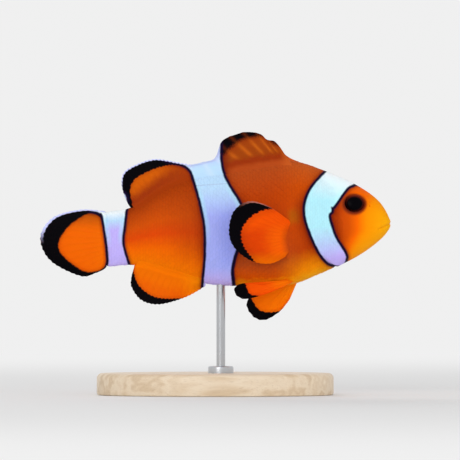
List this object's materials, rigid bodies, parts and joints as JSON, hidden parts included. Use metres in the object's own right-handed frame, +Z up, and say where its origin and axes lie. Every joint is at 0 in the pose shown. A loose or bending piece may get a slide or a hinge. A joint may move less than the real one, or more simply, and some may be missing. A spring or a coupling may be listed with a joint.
{
  "type": "clownfish display model",
  "caption": "Life-size museum-type model of a swimming clownfish, orange with white bars and black-edged fins, on an oval wooden plinth with a short steel rod.",
  "frame": {"origin": "centre of the stand's underside, on the floor", "axes": "+X towards the fish's nose, +Z up, the fish's right side faces -Y"},
  "size_m": [0.08, 0.034, 0.0601],
  "materials": {
    "skin": "painted scaled skin, satin gloss",
    "fin": "painted ribbed fin, satin gloss",
    "eye": "polished",
    "maple": "oiled",
    "steel": "brushed"
  },
  "bodies": {
    "root": {"head": "skin", "upper_lip": "skin", "lower_jaw": "skin", "gill_cover_right": "skin", "gill_cover_left": "skin", "trunk": "skin", "tail_stem": "skin", "eye_right": "eye", "eye_left": "eye", "dorsal_fin_spiny": "fin", "dorsal_fin_soft": "fin", "anal_fin": "fin", "caudal_fin": "fin", "pectoral_fin_right": "fin", "pectoral_fin_left": "fin", "pelvic_fin_right": "fin", "pelvic_fin_left": "fin", "stand_base": "maple", "stand_collar": "steel", "stand_rod": "steel"}
  },
  "joints": []
}
